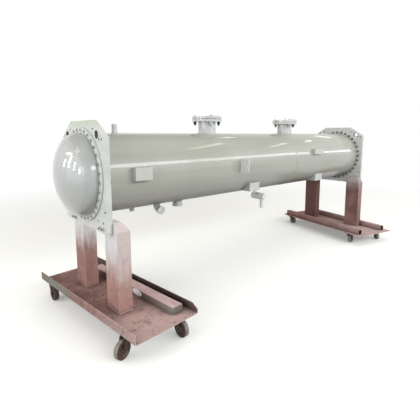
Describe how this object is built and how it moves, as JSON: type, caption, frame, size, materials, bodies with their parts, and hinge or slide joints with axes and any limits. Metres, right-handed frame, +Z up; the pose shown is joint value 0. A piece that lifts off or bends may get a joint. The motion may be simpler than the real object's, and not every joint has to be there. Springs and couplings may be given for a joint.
{
  "type": "shell and tube heat exchanger on wheeled dollies",
  "caption": "Horizontal shell and tube heat exchanger: painted shell, square tube sheets, dished bonnets, blinded top nozzles and under-shell fittings, on posts over wheeled dollies.",
  "frame": {"origin": "bottom centre of the whole, on the floor", "axes": "+X along the shell from the left bonnet to the right one, +Y to the back, +Z up"},
  "size_m": [4.3452, 1.557, 1.6146],
  "materials": {
    "shell_paint": "glossy grey-green enamel",
    "sheet_paint": "satin light grey",
    "fitting_paint": "satin light grey",
    "red_primer": "matt red oxide primer, scuffed and oversprayed",
    "worn_bar": "primer on top, worn grey sides",
    "caster_steel": "dark, oversprayed",
    "left_wheel": "dull grey-tan",
    "right_wheel": "dull grey"
  },
  "bodies": {
    "exchanger": {"shell": "shell_paint", "left_tube_sheet": "sheet_paint", "right_tube_sheet": "sheet_paint", "left_bonnet": "shell_paint", "right_bonnet": "shell_paint", "left_nozzle": "fitting_paint", "left_nozzle_cover": "fitting_paint", "right_nozzle": "fitting_paint", "right_nozzle_cover": "fitting_paint", "vent_stub": "fitting_paint", "drain_plug": "fitting_paint", "drain_elbow": "fitting_paint", "capped_stub": "fitting_paint", "relief_valve": "fitting_paint", "nameplate_bracket": "fitting_paint", "side_bracket": "fitting_paint", "left_pad_bracket": "fitting_paint", "right_pad_bracket": "fitting_paint", "lug_plate": "fitting_paint", "left_front_post": "red_primer", "left_back_post": "red_primer", "right_front_post": "red_primer", "right_back_post": "red_primer", "left_tray": "red_primer", "loose_bar": "worn_bar", "left_caster_plates": "caster_steel", "right_deck": "red_primer", "right_front_rail": "red_primer", "right_back_rail": "red_primer", "right_caster_plates": "caster_steel"},
    "left_swivel_a": {"left_fork_a": "caster_steel"},
    "left_roller_a": {"left_wheel_a": "left_wheel"},
    "left_swivel_b": {"left_fork_b": "caster_steel"},
    "left_roller_b": {"left_wheel_b": "left_wheel"},
    "left_swivel_c": {"left_fork_c": "caster_steel"},
    "left_roller_c": {"left_wheel_c": "left_wheel"},
    "left_swivel_d": {"left_fork_d": "caster_steel"},
    "left_roller_d": {"left_wheel_d": "left_wheel"},
    "right_swivel_a": {"right_fork_a": "caster_steel"},
    "right_roller_a": {"right_wheel_a": "right_wheel"},
    "right_swivel_b": {"right_fork_b": "caster_steel"},
    "right_roller_b": {"right_wheel_b": "right_wheel"},
    "right_swivel_c": {"right_fork_c": "caster_steel"},
    "right_roller_c": {"right_wheel_c": "right_wheel"},
    "right_swivel_d": {"right_fork_d": "caster_steel"},
    "right_roller_d": {"right_wheel_d": "right_wheel"}
  },
  "joints": [
    {"name": "left_swivel_a_turn", "type": "hinge", "parent": "exchanger", "child": "left_swivel_a", "pos_m": [-2.09671, 0.53635, 0.125], "axis": [0, 0, 1], "continuous": true},
    {"name": "left_roller_a_spin", "type": "hinge", "parent": "left_swivel_a", "child": "left_roller_a", "pos_m": [-2.09671, 0.49835, 0.0625], "axis": [-1, 0, 0], "continuous": true},
    {"name": "left_swivel_b_turn", "type": "hinge", "parent": "exchanger", "child": "left_swivel_b", "pos_m": [-2.00178, -0.59468, 0.125], "axis": [0, 0, 1], "continuous": true},
    {"name": "left_roller_b_spin", "type": "hinge", "parent": "left_swivel_b", "child": "left_roller_b", "pos_m": [-2.03748, -0.60768, 0.0625], "axis": [-0.342, 0.9397, 0], "continuous": true},
    {"name": "left_swivel_c_turn", "type": "hinge", "parent": "exchanger", "child": "left_swivel_c", "pos_m": [-1.61231, -0.62887, 0.125], "axis": [0, 0, 1], "continuous": true},
    {"name": "left_roller_c_spin", "type": "hinge", "parent": "left_swivel_c", "child": "left_roller_c", "pos_m": [-1.61099, -0.66685, 0.0625], "axis": [-0.9994, -0.0349, 0], "continuous": true},
    {"name": "left_swivel_d_turn", "type": "hinge", "parent": "exchanger", "child": "left_swivel_d", "pos_m": [-1.71455, 0.53967, 0.125], "axis": [0, 0, 1], "continuous": true},
    {"name": "left_roller_d_spin", "type": "hinge", "parent": "left_swivel_d", "child": "left_roller_d", "pos_m": [-1.75026, 0.52667, 0.0625], "axis": [-0.342, 0.9397, 0], "continuous": true},
    {"name": "right_swivel_a_turn", "type": "hinge", "parent": "exchanger", "child": "right_swivel_a", "pos_m": [1.32689, -0.45713, 0.1], "axis": [0, 0, 1], "continuous": true},
    {"name": "right_roller_a_spin", "type": "hinge", "parent": "right_swivel_a", "child": "right_roller_a", "pos_m": [1.35889, -0.45713, 0.05], "axis": [0, -1, 0], "continuous": true},
    {"name": "right_swivel_b_turn", "type": "hinge", "parent": "exchanger", "child": "right_swivel_b", "pos_m": [1.58616, 0.63965, 0.1], "axis": [0, 0, 1], "continuous": true},
    {"name": "right_roller_b_spin", "type": "hinge", "parent": "right_swivel_b", "child": "right_roller_b", "pos_m": [1.60673, 0.61513, 0.05], "axis": [-0.766, -0.6428, 0], "continuous": true},
    {"name": "right_swivel_c_turn", "type": "hinge", "parent": "exchanger", "child": "right_swivel_c", "pos_m": [1.77245, -0.60664, 0.1], "axis": [0, 0, 1], "continuous": true},
    {"name": "right_roller_c_spin", "type": "hinge", "parent": "right_swivel_c", "child": "right_roller_c", "pos_m": [1.75188, -0.63115, 0.05], "axis": [-0.766, 0.6428, 0], "continuous": true},
    {"name": "right_swivel_d_turn", "type": "hinge", "parent": "exchanger", "child": "right_swivel_d", "pos_m": [2.03286, 0.495, 0.1], "axis": [0, 0, 1], "continuous": true},
    {"name": "right_roller_d_spin", "type": "hinge", "parent": "right_swivel_d", "child": "right_roller_d", "pos_m": [2.04886, 0.46729, 0.05], "axis": [-0.866, -0.5, 0], "continuous": true}
  ]
}
